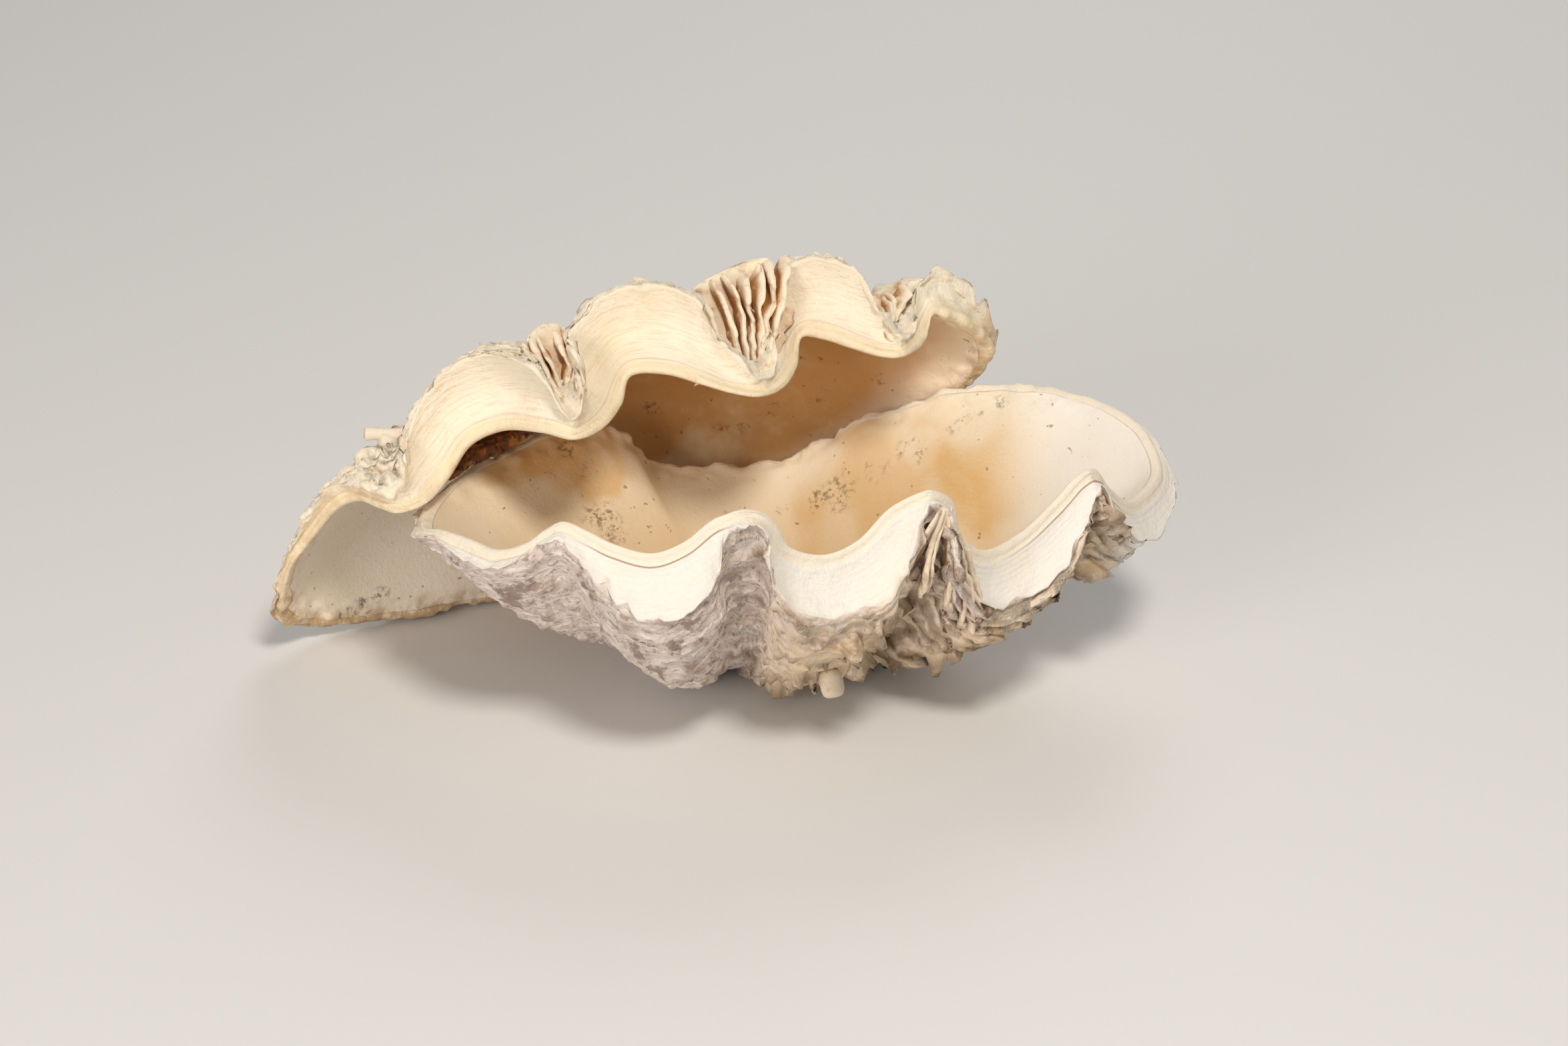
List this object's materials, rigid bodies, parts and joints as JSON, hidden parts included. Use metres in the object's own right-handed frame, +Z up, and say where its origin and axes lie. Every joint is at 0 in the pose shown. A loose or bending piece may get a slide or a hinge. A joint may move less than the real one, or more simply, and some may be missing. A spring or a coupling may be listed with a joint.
{
  "type": "giant clam shell",
  "caption": "Dried giant clam shell: a deep lower valve lying on its belly, the matching upper valve leaning over it, and a scrap of ligament on the hinge rim.",
  "frame": {"origin": "on the ground, under the middle of the whole shell's bounding box", "axes": "+Z up; +X along the shell's length towards the end that both valves share on the right; the open side of the shell and the free margins face -Y"},
  "size_m": [0.2544, 0.1524, 0.1138],
  "materials": {
    "lower_shell": "satin cream inside, chalky grey-brown outside",
    "upper_shell": "satin cream inside, chalky tan outside",
    "dried_ligament": "dry, cracked, dark amber to black-brown"
  },
  "bodies": {
    "root": {"lower_valve": "lower_shell", "upper_valve": "upper_shell", "ligament": "dried_ligament"}
  },
  "joints": []
}
